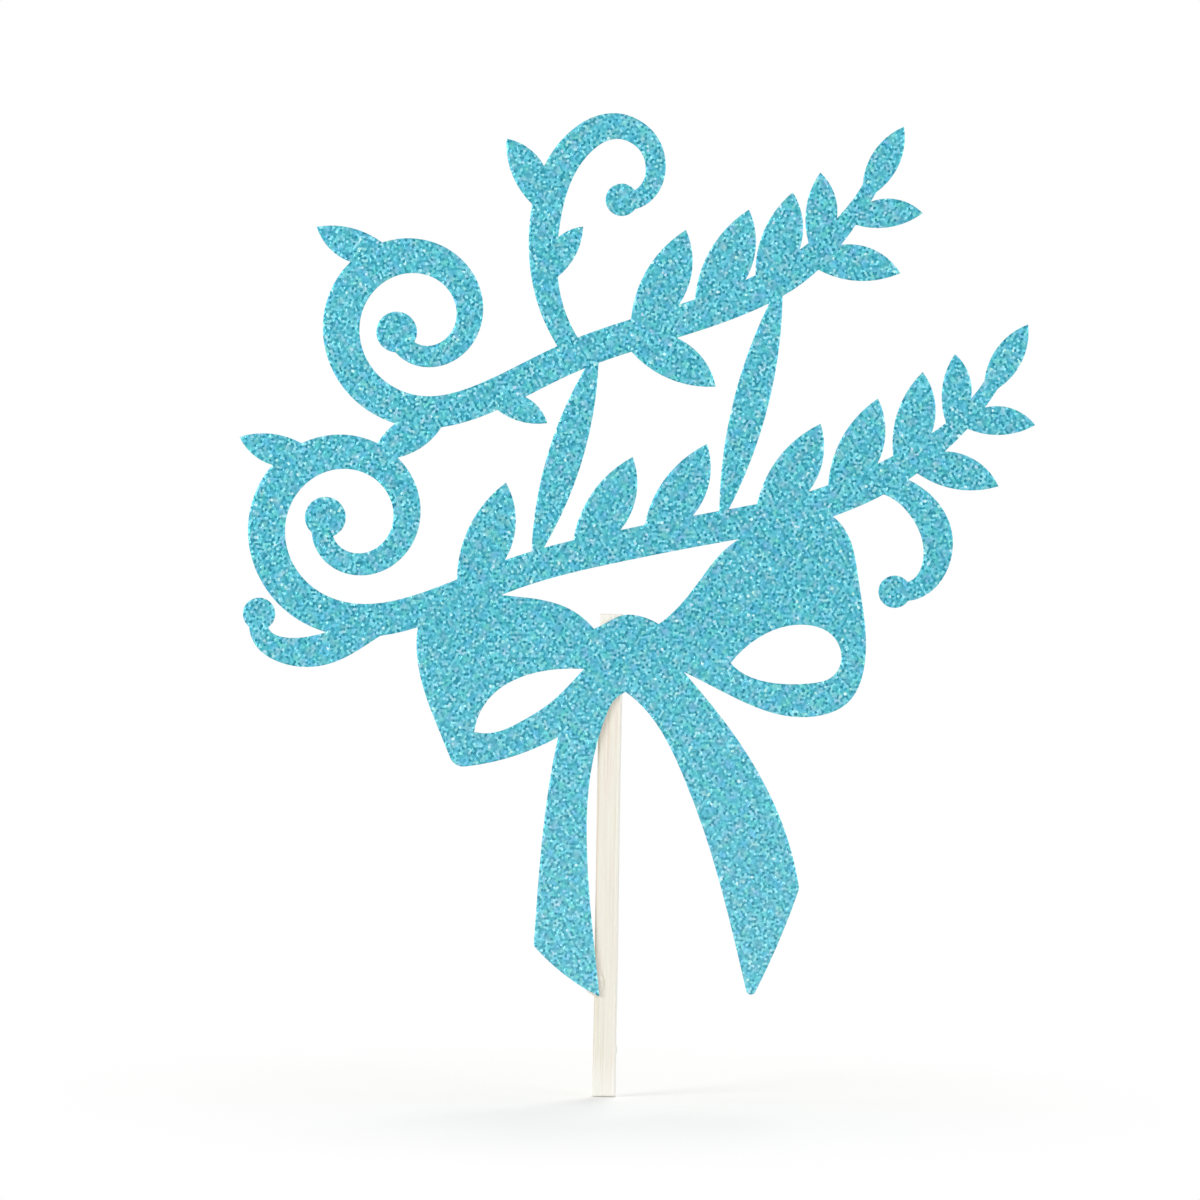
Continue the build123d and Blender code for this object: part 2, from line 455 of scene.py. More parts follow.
@dataclass(frozen=True)
class CardFinish:
    """Uncoated white cardstock, rolled and then die-cut.

    The back is matt with a faint cloud of pulp, and the cut edges are greyer, with fine lines
    along them where the layers of pulp show.
    """

    name: str = "white_cardstock"
    pale: str = "#EFEEE9"
    cloud: str = "#E6E5DF"
    edge: str = "#C9CBC4"
    cloud_mm: float = 0.8
    cloud_detail: float = 6.0
    cloud_span: tuple[float, float] = (0.3, 0.7)
    fibre_mm: float = 0.22
    fibre_detail: float = 4.0
    layer_mm: float = 0.07
    layer_waviness: float = 1.5
    edge_blend_mm: float = 0.03
    surface: SurfaceRelief = SurfaceRelief(0.03, 0.25, 0.75, 0.95)

    def material(self, back_mm: float) -> bpy.types.Material:
        """Builds the material.

        Args:
            back_mm: Depth of the card's back, in millimetres along Y.

        Returns:
            The card material.
        """
        material, tree = blank_material(self.name)
        place = add_node(tree, "ShaderNodeTexCoord").outputs["Object"]
        cloud = add_node(tree, "ShaderNodeTexNoise", {}, {
            "Vector": place,
            "Scale": 1 / (self.cloud_mm * MM),
            "Detail": self.cloud_detail,
        })
        pulp = add_node(tree, "ShaderNodeValToRGB", {}, {"Fac": cloud.outputs["Fac"]})
        ramp_stops(pulp, zip(self.cloud_span, (self.cloud, self.pale)))
        layers = add_node(tree, "ShaderNodeTexWave", {"bands_direction": "Y"}, {
            "Vector": place,
            "Scale": 1 / (self.layer_mm * MM * 2 * math.pi),
            "Distortion": self.layer_waviness,
        })
        shade = add_node(tree, "ShaderNodeValToRGB", {}, {"Fac": layers.outputs["Fac"]})
        ramp_stops(shade, zip((0, 1), (self.edge, self.cloud)))
        depth = add_node(tree, "ShaderNodeSeparateXYZ", {}, {"Vector": place}).outputs["Y"]
        span = ((back_mm - self.edge_blend_mm / 2) * MM, (back_mm - self.edge_blend_mm) * MM)
        colour = tinted(tree, pulp.outputs["Color"], depth, span, 1.0, shade.outputs["Color"])
        fibre = add_node(tree, "ShaderNodeTexNoise", {}, {
            "Vector": place,
            "Scale": 1 / (self.fibre_mm * MM),
            "Detail": self.fibre_detail,
        })
        self.surface.shade(tree, colour, fibre.outputs["Fac"], fibre.outputs["Fac"])
        return material


@dataclass(frozen=True)
class WoodFinish:
    """Plain birch, sawn into flat sticks and tumbled, with no varnish.

    Pale cream with fine lengthwise streaks and short dark pores. One long edge has painted shade, a
    browner band that widens up the stick. The other edge and both ends have painted light, paler
    colour. The splinter has a rosy fleck, and the end cuts are brown and dotted.
    """

    name: str = "plain_birch"
    pale: str = "#F6F3E8"
    cream: str = "#F2EEE0"
    rosy: str = "#F3E7DB"
    streak: str = "#E0D6C3"
    # Painted shade along the left long edge
    painted_shade_side: str = "#D3C2AC"
    # Painted light along the right long edge and near both ends
    painted_light_side: str = "#FFFEF8"
    fleck: str = "#EBA898"
    pore: str = "#BFA98C"
    end: str = "#D9C8AC"
    streak_mm: float = 0.45
    streak_length_mm: float = 26.0
    streak_stops: tuple[float, float, float] = (0.3, 0.46, 0.68)
    noise_detail: float = 5.0
    noise_roughness: float = 0.6
    rosy_mm: float = 1.6
    rosy_length_mm: float = 11.0
    rosy_span: tuple[float, float] = (0.48, 0.68)
    rosy_share: float = 0.7
    # Painted shade band: its width at the foot, how it widens up the stick, and its share
    painted_shade_side_mm: float = 0.4
    painted_shade_lean: float = 0.004
    painted_shade_share: float = 0.5
    # Painted light bands: width at the right edge and near each end, and their share
    painted_light_side_mm: float = 0.9
    painted_light_end_mm: float = 9.0
    painted_light_share: float = 0.7
    fleck_mm: float = 1.0
    fleck_share: float = 0.6
    pore_mm: float = 0.16
    pore_length_mm: float = 2.4
    pore_span: tuple[float, float] = (0.66, 0.78)
    pore_share: float = 0.55
    end_pore_span: tuple[float, float] = (0.1, 0.45)
    end_depth_mm: float = 0.05
    end_share: float = 0.8
    surface: SurfaceRelief = SurfaceRelief(0.04, 0.3, 0.5, 0.74)

    def drawn_out(self, tree: Tree, place: Socket, width_mm: float, length_mm: float) -> Socket:
        """Adds a noise that is drawn out along the stick.

        Args:
            tree: Node tree that takes the nodes.
            place: Output socket of the place on the stick.
            width_mm: Width of the noise across the stick, in millimetres.
            length_mm: Length of the noise along the stick, in millimetres.

        Returns:
            Output socket of the noise.
        """
        stretched = add_node(tree, "ShaderNodeMapping", {}, {
            "Vector": place,
            "Scale": (1 / (width_mm * MM), 1 / (width_mm * MM), 1 / (length_mm * MM)),
        })
        noise = add_node(tree, "ShaderNodeTexNoise", {}, {
            "Vector": stretched.outputs["Vector"],
            "Scale": 1.0,
            "Detail": self.noise_detail,
            "Roughness": self.noise_roughness,
        })
        return noise.outputs["Fac"]

    def material(self, low_mm: Array, high_mm: Array, splinter_mm: Array) -> bpy.types.Material:
        """Builds the material.

        Args:
            low_mm: Lowest corner of the stick, on whose side the edge has painted shade.
            high_mm: Highest corner of the stick, on whose side the edge has painted light.
            splinter_mm: Place of the splinter.

        Returns:
            The wood material.
        """
        material, tree = blank_material(self.name)
        place = add_node(tree, "ShaderNodeTexCoord").outputs["Object"]
        axes = add_node(tree, "ShaderNodeSeparateXYZ", {}, {"Vector": place})
        across, up = axes.outputs["X"], axes.outputs["Z"]
        streaks = self.drawn_out(tree, place, self.streak_mm, self.streak_length_mm)
        blush = self.drawn_out(tree, place, self.rosy_mm, self.rosy_length_mm)
        pores = self.drawn_out(tree, place, self.pore_mm, self.pore_length_mm)
        leaning = add_node(tree, "ShaderNodeMath", {"operation": "MULTIPLY_ADD"}, {
            0: up,
            1: -self.painted_shade_lean,
            2: across,
        }).outputs[0]
        from_fleck = add_node(tree, "ShaderNodeVectorMath", {"operation": "DISTANCE"}, {
            0: place,
            1: splinter_mm * MM,
        }).outputs["Value"]
        half = (high_mm[2] - low_mm[2]) / 2
        from_middle = add_node(tree, "ShaderNodeMath", {"operation": "SUBTRACT"}, {
            0: up,
            1: (low_mm[2] + half) * MM,
        })
        along = add_node(tree, "ShaderNodeMath", {"operation": "ABSOLUTE"}, {
            0: from_middle.outputs[0],
        }).outputs[0]
        dots = add_node(tree, "ShaderNodeTexVoronoi", {}, {
            "Vector": place,
            "Scale": 1 / (self.pore_mm * MM),
        })
        end = add_node(tree, "ShaderNodeValToRGB", {}, {"Fac": dots.outputs["Distance"]})
        ramp_stops(end, zip(self.end_pore_span, (self.pore, self.end)))
        grain = add_node(tree, "ShaderNodeValToRGB", {}, {"Fac": streaks})
        ramp_stops(grain, zip(self.streak_stops, (self.streak, self.cream, self.pale)))
        colour = grain.outputs["Color"]
        painted_shade_span_mm = np.array([low_mm[0] + self.painted_shade_side_mm, low_mm[0]])
        painted_light_span_mm = np.array([high_mm[0] - self.painted_light_side_mm, high_mm[0]])
        near_end_mm = np.array([half - self.painted_light_end_mm, half])
        end_mm = np.array([half - self.end_depth_mm, half])
        for value, span, share, tint in (
            (blush, self.rosy_span, self.rosy_share, self.rosy),
            # Painted shade along the left edge, widening up the stick
            (leaning, painted_shade_span_mm * MM, self.painted_shade_share, self.painted_shade_side),
            # Painted light along the right edge and near both ends
            (across, painted_light_span_mm * MM, self.painted_light_share, self.painted_light_side),
            (along, near_end_mm * MM, self.painted_light_share, self.painted_light_side),
            (pores, self.pore_span, self.pore_share, self.pore),
            (from_fleck, (self.fleck_mm * MM, 0), self.fleck_share, self.fleck),
            (along, end_mm * MM, self.end_share, end.outputs["Color"]),
        ):
            colour = tinted(tree, colour, value, span, share, tint)
        self.surface.shade(tree, colour, pores, streaks)
        return material


@dataclass(frozen=True)
class GlueFinish:
    """Ethylene-vinyl acetate hot-melt glue, squeezed on and left to set.

    Milky and a little yellow, with a soft gloss, and lighter where it is thin.
    """

    name: str = "hot_melt_glue"
    milky: str = "#F9F4E8"
    deep: str = "#F2E9DA"
    cloud_mm: float = 0.9
    cloud_detail: float = 3.0
    cloud_span: tuple[float, float] = (0.35, 0.65)
    surface: SurfaceRelief = SurfaceRelief(0.1, 0.3, 0.18, 0.38)
    ior: float = 1.48
    depth_share: float = 0.35
    depth_mm: float = 0.6
    depth_reach: tuple[float, float, float] = (1.0, 0.96, 0.88)

    def material(self) -> bpy.types.Material:
        """Builds the material.

        Returns:
            The glue material.
        """
        material, tree = blank_material(self.name)
        place = add_node(tree, "ShaderNodeTexCoord").outputs["Object"]
        cloud = add_node(tree, "ShaderNodeTexNoise", {}, {
            "Vector": place,
            "Scale": 1 / (self.cloud_mm * MM),
            "Detail": self.cloud_detail,
        })
        colour = add_node(tree, "ShaderNodeValToRGB", {}, {"Fac": cloud.outputs["Fac"]})
        ramp_stops(colour, zip(self.cloud_span, (self.deep, self.milky)))
        self.surface.shade(
            tree, colour.outputs["Color"], cloud.outputs["Fac"], cloud.outputs["Fac"], {
                "IOR": self.ior,
                "Subsurface Weight": self.depth_share,
                "Subsurface Radius": self.depth_reach,
                "Subsurface Scale": self.depth_mm * MM,
            }
        )
        return material


@dataclass
class CutOutline:
    """The card's cut line: points and the edges between them, and which places lie inside it.

    Places inside are found on a fine raster. Each edge flips every raster row that it crosses,
    from the crossing to the right, so a place is inside where the flips add up to an odd number.
    """

    points: Array
    edges: Array
    cell: float = 0.06
    spare_cells: int = 2
    batch: int = 2000

    @classmethod
    def of_front(cls, part: Part) -> "CutOutline":
        """Reads the rim of a flat node's front face.

        The rim is made of the edges that belong to one front triangle only.

        Args:
            part: Flat CAD node whose front faces -Y.

        Returns:
            The outline, in millimetres across and up.
        """
        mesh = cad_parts[part.value].data
        mesh.calc_loop_triangles()
        places = np.empty(len(mesh.vertices) * 3, np.float32)
        corners = np.empty(len(mesh.loop_triangles) * 3, np.int32)
        mesh.vertices.foreach_get("co", places)
        mesh.loop_triangles.foreach_get("vertices", corners)
        places = places.reshape(-1, 3).astype(float) / MM
        corners = corners.reshape(-1, 3)
        front = places[:, 1] < places[:, 1].min() + FLAT_MM
        corners = corners[front[corners].all(axis=1)]
        points, numbers = np.unique(places[:, ::2].round(MERGE_DIGITS), axis=0, return_inverse=True)
        sides = np.sort(triangle_sides(numbers.ravel()[corners]), axis=1)
        edges, uses = np.unique(sides, axis=0, return_counts=True)
        rim = edges[uses == 1]
        used, rim = np.unique(rim, return_inverse=True)
        return cls(points[used], rim.reshape(-1, 2))

    def divided(self, step: float) -> "CutOutline":
        """Divides edges that are longer than a step into even parts.

        Args:
            step: Longest edge that is left, in millimetres.

        Returns:
            The same outline with more points.
        """
        start, end = self.points[self.edges[:, 0]], self.points[self.edges[:, 1]]
        parts = np.ceil(np.linalg.norm(end - start, axis=1) / step).astype(int)
        owner = np.repeat(np.arange(len(parts)), parts)
        index = np.arange(parts.sum()) - np.repeat(np.cumsum(parts) - parts, parts)
        first_new = len(self.points) + np.cumsum(parts - 1) - (parts - 1)
        share = (index / parts[owner])[:, None]
        added = (start[owner] + (end - start)[owner] * share)[index > 0]
        low = np.where(index == 0, self.edges[owner, 0], first_new[owner] + index - 1)
        high = np.where(index == parts[owner] - 1, self.edges[owner, 1], first_new[owner] + index)
        return CutOutline(np.concatenate([self.points, added]), np.stack([low, high], axis=1))

    def raster(self) -> Array:
        """Fills the outline on the raster.

        Returns:
            One flag for each raster cell, rows going up.
        """
        low = self.points.min(axis=0)
        cells = np.ceil((self.points.max(axis=0) - low) / self.cell).astype(int)
        width, height = cells + self.spare_cells
        ends = (self.points[self.edges] - low) / self.cell
        order = np.argsort(ends[:, :, 1], axis=1)
        lower = np.take_along_axis(ends, order[:, :1, None], axis=1)[:, 0]
        upper = np.take_along_axis(ends, order[:, 1:, None], axis=1)[:, 0]
        first = np.ceil(lower[:, 1] - 0.5).astype(int)
        rows = np.ceil(upper[:, 1] - 0.5).astype(int) - first
        owner = np.repeat(np.arange(len(rows)), rows)
        row = first[owner] + np.arange(rows.sum()) - np.repeat(np.cumsum(rows) - rows, rows)
        rise = upper[:, 1] - lower[:, 1]
        slope = (upper[:, 0] - lower[:, 0]) / np.where(rise == 0, 1, rise)
        column = lower[owner, 0] + slope[owner] * (row + 0.5 - lower[owner, 1])
        flips = np.zeros((height, width), np.int32)
        np.add.at(flips, (row, np.clip(np.round(column), 0, width - 1).astype(int)), 1)
        return np.cumsum(flips, axis=1) % 2 == 1

    def encloses(self, places: Array) -> Array:
        """Tells which places the outline encloses: those with an odd number of edges to their right.

        The places are tried against all edges, a batch at a time.

        Args:
            places: Places across and up, in millimetres.

        Returns:
            One flag for each place.
        """
        start, end = self.points[self.edges[:, 0]], self.points[self.edges[:, 1]]
        rise = end[:, 1] - start[:, 1]
        slope = (end[:, 0] - start[:, 0]) / np.where(rise == 0, 1, rise)
        answers = []
        for group in np.array_split(places, len(places) // self.batch + 1):
            up = group[:, 1:]
            spans = (start[:, 1] > up) != (end[:, 1] > up)
            meets = start[:, 0] + (up - start[:, 1]) * slope
            answers.append((spans & (meets > group[:, :1])).sum(axis=1) % 2 == 1)
        return np.concatenate(answers)

    def well_inside(self, places: Array, inset: float) -> Array:
        """Tells which places lie inside the outline, at least an inset from it, by the raster.

        Args:
            places: Places across and up, in millimetres.
            inset: Least distance from the outline, measured across and up.

        Returns:
            One flag for each place.
        """
        filled = self.raster()
        for axis in (0, 1):
            kept = filled.copy()
            for shift in range(1, round(inset / self.cell) + 1):
                kept &= np.roll(filled, shift, axis) & np.roll(filled, -shift, axis)
            filled = kept
        cells = ((places - self.points.min(axis=0)) / self.cell).astype(int)
        limit = np.array(filled.shape)[::-1] - 1
        within = ((cells >= 0) & (cells <= limit)).all(axis=1)
        cells = np.clip(cells, 0, limit)
        return within & filled[cells[:, 1], cells[:, 0]]


@dataclass
class GlitterCoat:
    """Coat of glitter on the card's front: one closed sheet of small six-sided flakes.

    The flakes are the cells of a honeycomb that is drawn aside in slow waves, and whose corners are
    then moved at random. Each corner stands at its own height in the coat, so each flake has its
    own tilt and crease, and the card's cut line cuts through the flakes along the rim. Real flakes
    are about half as wide. They are drawn coarser, because real ones would not show in the render.
    """

    finish: GlitterFinish
    flake_pitch: float = 0.45
    scatter_share: float = 0.11
    drift: float = 0.06
    drift_lengths: tuple[float, float] = (1.6, 4.0)
    drift_waves: int = 24
    drift_seed: int = 29
    contrast_share: float = 0.6
    inset_share: float = 0.2
    lowest_share: float = 0.35
    rim_share: float = 0.12
    merge_distance: float = 1e-6
    seed: int = 11

    def drawn_aside(self, places: Array) -> Array:
        """Works out how far the honeycomb is drawn aside: a smooth random field for each axis.

        Args:
            places: Places across and up, in millimetres.

        Returns:
            Distance across and up for each place, in millimetres.
        """
        rng = np.random.default_rng(self.drift_seed)
        lengths = np.array([self.drift_lengths, self.drift_lengths])
        across = wave_field(places, lengths, self.drift_waves, rng)
        up = wave_field(places, lengths, self.drift_waves, rng)
        return np.stack([across, up], axis=1) * self.drift

    def corners(self, outline: CutOutline, rng: Random) -> Array:
        """Scatters the flakes' corners: two for each cell of an even honeycomb.

        They are drawn aside with the honeycomb, and then moved at random by a share of its pitch.

        Args:
            outline: Cut line of the card.
            rng: Source of the random numbers.

        Returns:
            Points across and up, in millimetres, well inside the cut line.
        """
        low, high = outline.points.min(axis=0), outline.points.max(axis=0)
        row_pitch = self.flake_pitch * math.sqrt(3) / 2
        columns = np.arange(math.floor(low[0] / self.flake_pitch), high[0] / self.flake_pitch + 1)
        rows = np.arange(math.floor(low[1] / row_pitch), high[1] / row_pitch + 1)
        column, row = (each.ravel() for each in np.meshgrid(columns, rows))
        across = (column + row % 2 / 2) * self.flake_pitch
        rise = self.flake_pitch / math.sqrt(3)
        tops = np.stack([across, row * row_pitch + rise], axis=1)
        bottoms = np.stack([across, row * row_pitch - rise], axis=1)
        points = np.concatenate([tops, bottoms])
        points += self.drawn_aside(points)
        points += rng.uniform(-1, 1, points.shape) * self.flake_pitch * self.scatter_share
        return points[outline.well_inside(points, self.flake_pitch * self.inset_share)]

    def flake_numbers(self, places: Array) -> tuple[Array, Array]:
        """Finds the honeycomb cell that each place lies in: the nearer of two even grids' cells.

        Each place is first moved back by as much as the honeycomb is drawn aside there.

        Args:
            places: Places across and up, in millimetres.

        Returns:
            Middle of each flake in use, and the number of its flake for each place.
        """
        pitch = np.array([self.flake_pitch, self.flake_pitch * math.sqrt(3)])
        places = places - self.drawn_aside(places)
        even = np.round(places / pitch) * pitch
        odd = (np.floor(places / pitch) + 0.5) * pitch
        nearer = ((places - even) ** 2).sum(axis=1) <= ((places - odd) ** 2).sum(axis=1)
        middles = np.where(nearer[:, None], even, odd).round(MERGE_DIGITS)
        return np.unique(middles, axis=0, return_inverse=True)

    def flake_tones(self, middles: Array, rng: Random) -> Array:
        """Draws a tone for each flake, so that it differs from the six flakes round it.

        Each cell of the honeycomb gets a random number, less a share of the mean of the numbers
        round it. The tone is the rank of the result among all flakes. Cells lie in every second
        column of a row, so that a neighbour is two columns, or one row and one column, away.

        Args:
            middles: Middle of each flake in millimetres, across and up.
            rng: Source of the random numbers.

        Returns:
            Tone of each flake, from 0 to 1.
        """
        half_pitch = np.array([1, math.sqrt(3)]) * self.flake_pitch / 2
        cells = np.round(middles / half_pitch).astype(int)
        column, row = (cells - cells.min(axis=0)).T
        field = rng.normal(size=(row.max() + 1, column.max() + 1))
        neighbours = ((0, 2), (0, -2), (1, 1), (1, -1), (-1, 1), (-1, -1))
        around = np.mean([np.roll(field, step, (0, 1)) for step in neighbours], axis=0)
        order = np.argsort((field - self.contrast_share * around)[row, column])
        return np.argsort(order) / (len(order) - 1)

    def triangles(self, outline: CutOutline, extra: Array) -> tuple[Array, Array]:
        """Joins points inside an outline into triangles that face the viewer.

        A triangle with one of the extra points lies inside. The others are tried one by one.

        Args:
            outline: Cut line, whose edges are kept.
            extra: More points inside it.

        Returns:
            All points, and the three point numbers of each triangle.
        """
        places = np.concatenate([outline.points, extra]).tolist()
        points, _, corners, *_ = delaunay_2d_cdt(
            places, outline.edges.tolist(), [], WHOLE_HULL, self.merge_distance, False
        )
        points, corners = np.array(points), np.array(corners)
        kept = (corners >= len(outline.points)).any(axis=1)
        kept[~kept] = outline.encloses(points[corners[~kept]].mean(axis=1))
        return points, corners[kept]

    def sheet(self, rng: Random) -> tuple[Array, Array]:
        """Works out the closed sheet: faceted front, walls along the cut line and flat back.

        Each point of the front stands at a random share of the coat's thickness, and at a small
        part of that share on the rim. The rim's sides are those that only one facet has.

        Args:
            rng: Source of the random numbers.

        Returns:
            Points in millimetres, and triangles.
        """
        low, high = node_box(Part.GLITTER)
        outline = CutOutline.of_front(Part.GLITTER).divided(self.flake_pitch)
        front, facets = self.triangles(outline, self.corners(outline, rng))
        back, plates = self.triangles(outline, np.empty((0, 2)))
        sides = triangle_sides(facets)
        known = sides[:, 0] * len(front) + sides[:, 1]
        rim = sides[~np.isin(sides[:, 1] * len(front) + sides[:, 0], known)]
        lift = rng.uniform(self.lowest_share, 1, len(front))
        lift[np.unique(rim)] *= self.rim_share
        depth = high[1] + (low[1] - high[1]) * lift
        front_points = np.stack([front[:, 0], depth, front[:, 1]], axis=1)
        back_points = np.stack([back[:, 0], np.full(len(back), high[1]), back[:, 1]], axis=1)
        shift = len(front)
        walls = np.concatenate([
            np.stack([rim[:, 1], rim[:, 0], rim[:, 0] + shift], axis=1),
            np.stack([rim[:, 1], rim[:, 0] + shift, rim[:, 1] + shift], axis=1),
        ])
        faces = np.concatenate([facets, walls, plates[:, ::-1] + shift])
        return np.concatenate([front_points, back_points]), faces

    def build(self) -> None:
        """Builds the coat, and gives each corner of a facet the colour of its flake."""
        rng = np.random.default_rng(self.seed)
        points, faces = self.sheet(rng)
        piece = mesh_piece("glitter_coat", points, faces, smooth=False)
        flakes, numbers = self.flake_numbers(points[faces].mean(axis=1)[:, ::2])
        tone = self.flake_tones(flakes, rng)
        colours = self.finish.flake_colours(flakes, tone, rng)[numbers.ravel()]
        layer = piece.data.color_attributes.new(self.finish.colour_name, "FLOAT_COLOR", "CORNER")
        corners = np.repeat(colours, faces.shape[1], axis=0).astype(np.float32)
        layer.data.foreach_set("color", corners.ravel())
        piece.data.materials.append(self.finish.material())
        stand_for(piece, Part.GLITTER)


@dataclass
class CardCore:
    """The white card under the glitter, which keeps its CAD shape."""

    finish: CardFinish

    def dress(self) -> None:
        """Gives the card its paper finish."""
        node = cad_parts[Part.CARD.value]
        _, high = node_box(Part.CARD)
        node.data.materials[0] = self.finish.material(high[1])
        LOG.info("%s: dressed", node.name)


@dataclass
class WoodenStick:
    """Flat wooden stick: a rounded rectangle carried up the stick, a little uneven.

    The section swells and wanders slowly along the stick, its faces have fine lengthwise ridges of
    grain, a saw line runs down the front, and a splinter stands off the right edge. Both ends close
    over shrinking sections.
    """

    finish: WoodFinish
    edge_round: float = 0.4
    face_points: int = 44
    side_points: int = 10
    corner_points: int = 6
    rings: int = 260
    end_rings: int = 7
    wander: float = 0.015
    wander_room: float = 0.05
    wander_lengths: tuple[float, float] = (18.0, 70.0)
    wander_waves: int = 8
    ridge: float = 0.012
    ridge_widths: tuple[float, float] = (0.35, 1.1)
    ridge_lengths: tuple[float, float] = (14.0, 60.0)
    ridge_waves: int = 24
    saw_line_inset: float = 0.7
    saw_line_width: float = 0.08
    saw_line_depth: float = 0.04
    dent: float = 0.05
    dent_widths: tuple[float, float] = (0.3, 0.9)
    dent_waves: int = 24
    dent_fade_power: int = 4
    end_wear: float = 0.025
    end_wear_length: float = 0.25
    splinter_height: float = 7.8
    splinter_length: float = 0.55
    splinter_reach: float = 0.22
    splinter_sharpness: float = 6.0
    seed: int = 5

    def section(self, half_width: float, half_depth: float) -> Array:
        """Works out the section: four straight sides, joined by quarter circles.

        Args:
            half_width: Half of the stick's width, in millimetres.
            half_depth: Half of the stick's thickness, in millimetres.

        Returns:
            Points of the section, across and deep, counter-clockwise seen from above.
        """
        core = np.array([half_width, half_depth]) - self.edge_round
        turns = np.linspace(0, math.pi / 2, self.corner_points)
        corners = []
        for index, sign in enumerate(((1, 1), (-1, 1), (-1, -1), (1, -1))):
            angles = turns + index * math.pi / 2
            arc = np.stack([np.cos(angles), np.sin(angles)], axis=1) * self.edge_round
            corners.append(arc + core * sign)
        runs = []
        for index, corner in enumerate(corners):
            count = self.side_points if index % 2 else self.face_points
            share = np.linspace(0, 1, count + 1)[1:-1, None]
            following = corners[(index + 1) % len(corners)][0]
            runs.append(np.concatenate([corner, corner[-1] + (following - corner[-1]) * share]))
        return np.concatenate(runs)

    def stations(self, length: float) -> tuple[Array, Array]:
        """Works out where the sections stand and how large they are.

        At both ends the height stays the same while the section shrinks to a point. Wear makes
        the section smaller near the ends, less and less with the distance from them.

        Args:
            length: Length of the stick, in millimetres.

        Returns:
            Height and scale of each section, each as a column.
        """
        closing = np.linspace(0, 1, self.end_rings, endpoint=False)
        body = np.linspace(0, length, self.rings)
        height = np.concatenate([closing * 0, body, closing * 0 + length])
        scale = np.concatenate([closing, np.ones(self.rings), closing[::-1]])
        from_end = np.minimum(height, length - height)
        scale = scale * (1 - self.end_wear * np.exp(-from_end / self.end_wear_length))
        return height[:, None], scale[:, None]

    def face_relief(self, flat: Array, rng: Random) -> Array:
        """Works out how far the wide faces stand out: ridges of grain, less the saw line's hollow.

        Ridges are a field of waves drawn out along the stick. The saw line is a bell-shaped hollow
        on the front, at one inset from the right edge all the way up.

        Args:
            flat: Points of the even stick round its middle, by section and round the section.
            rng: Source of the random numbers.

        Returns:
            Relief in millimetres, outwards.
        """
        lengths = np.array([self.ridge_widths, self.ridge_widths, self.ridge_lengths])
        ridges = wave_field(flat.reshape(-1, 3), lengths, self.ridge_waves, rng)
        ridges = ridges.reshape(flat.shape[:2])
        from_line = flat[..., 0] - (flat[..., 0].max() - self.saw_line_inset)
        hollow = self.saw_line_depth * np.exp(-((from_line / self.saw_line_width) ** 2))
        return np.clip(ridges, -1, 1) * self.ridge - hollow * (flat[..., 1] < 0)

    def surface(self) -> Array:
        """Works out the grid of points: the section, carried up the stick and made uneven.

        Slow waves move the section aside and widen it. The relief stands out of the two wide
        faces, the splinter is a bell along the stick times a power of the way to the right
        edge, and waves pit the end cuts inwards.

        Returns:
            Points in millimetres, by section and round the section.
        """
        rng = np.random.default_rng(self.seed)
        low, high = node_box(Part.STICK)
        half = (high - low) / 2
        height, scale = self.stations(high[2] - low[2])
        outline = self.section(half[0] - self.wander_room, half[1] - self.ridge)
        across, deep = outline[:, 0] * scale, outline[:, 1] * scale
        flat = np.stack([across, deep, np.broadcast_to(height, across.shape)], axis=-1)
        slow = np.array([self.wander_lengths])
        sway = wave_field(height, slow, self.wander_waves, rng)[:, None] * self.wander
        swell = wave_field(height, slow, self.wander_waves, rng)[:, None] * self.wander
        on_face = np.abs(outline[:, 1]) > half[1] - self.edge_round
        relief = self.face_relief(flat, rng) * np.sign(outline[:, 1]) * on_face * scale
        edge = np.clip(outline[:, 0] / half[0], 0, 1) ** self.splinter_sharpness * scale
        shard = np.exp(-(((height - self.splinter_height) / self.splinter_length) ** 2))
        pits = np.array([self.dent_widths, self.dent_widths, self.wander_lengths])
        dents = wave_field(flat.reshape(-1, 3), pits, self.dent_waves, rng).reshape(relief.shape)
        inward = np.where(height < half[2], 1, -1) * np.clip(1 - scale**self.dent_fade_power, 0, 1)
        uneven = flat.copy()
        uneven[..., 0] += flat[..., 0] / half[0] * swell + sway + shard * edge * self.splinter_reach
        uneven[..., 1] += relief
        uneven[..., 2] += np.clip((1 + dents) / 2, 0, 1) * self.dent * inward
        return uneven + np.array([low[0] + half[0], low[1] + half[1], low[2]])

    def build(self) -> None:
        """Builds the stick from rings of points and a fan at each end, and dresses it."""
        grid = self.surface()
        rings, around = grid.shape[:2]
        numbers = np.arange(rings * around).reshape(rings, around)
        numbers[0] = numbers[0, 0]
        numbers[-1] = numbers[-1, 0]
        beside = np.roll(numbers, -1, axis=1)
        shell = grid_triangles(np.concatenate([numbers, numbers[:, :1]], axis=1)[1:-1].T)
        lower = np.stack([numbers[0], beside[1], numbers[1]], axis=-1)
        upper = np.stack([numbers[-1], numbers[-2], beside[-2]], axis=-1)
        used, faces = np.unique(np.concatenate([shell, lower, upper]), return_inverse=True)
        points = grid.reshape(-1, 3)[used]
        piece = mesh_piece("birch_stick", points, faces.reshape(-1, 3), smooth=True)
        low, high = node_box(Part.STICK)
        splinter = np.array([high[0], (low[1] + high[1]) / 2, low[2] + self.splinter_height])
        piece.data.materials.append(self.finish.material(low, high, splinter))
        stand_for(piece, Part.STICK)


